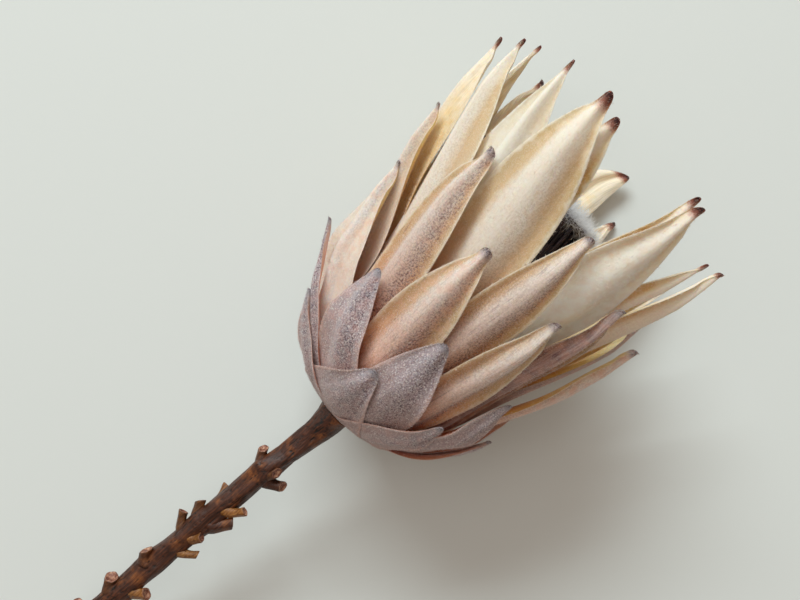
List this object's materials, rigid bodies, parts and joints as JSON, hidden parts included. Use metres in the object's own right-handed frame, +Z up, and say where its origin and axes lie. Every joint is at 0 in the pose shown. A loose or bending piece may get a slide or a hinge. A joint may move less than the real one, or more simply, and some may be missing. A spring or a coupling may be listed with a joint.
{
  "type": "dried king protea flower",
  "caption": "Dried king protea head on a cut woody stem, lying on its side: overlapping felted bracts round a dark floret cone with white wool.",
  "frame": {"origin": "on the surface that the flower lies on, under the middle of its bounding box", "axes": "+X from the cut end of the stem to the open mouth of the head, +Z up"},
  "size_m": [0.2675, 0.1038, 0.1042],
  "materials": {
    "stem_bark": "dark brown dry bark, lengthwise grooves, slightly glossy, golden to red-brown cut stumps",
    "grey_felt": "short dense grey-mauve plant felt with pinkish margins, matt",
    "blush_felt": "pink-beige plant felt on the ribs, smoother tan grooves, grey-purple tips, matt",
    "cream_felt": "cream felted outside, smooth golden inside, dark red-brown finger tips, matt",
    "dark_florets": "near-black purple-brown packed florets with fine hairs, matt",
    "white_wool": "bluish white woolly hairs, matt"
  },
  "bodies": {
    "root": {"stem": "stem_bark", "outer_bracts": "grey_felt", "middle_bracts": "blush_felt", "inner_bracts": "cream_felt", "floret_cone": "dark_florets", "floret_wool": "white_wool"}
  },
  "joints": []
}
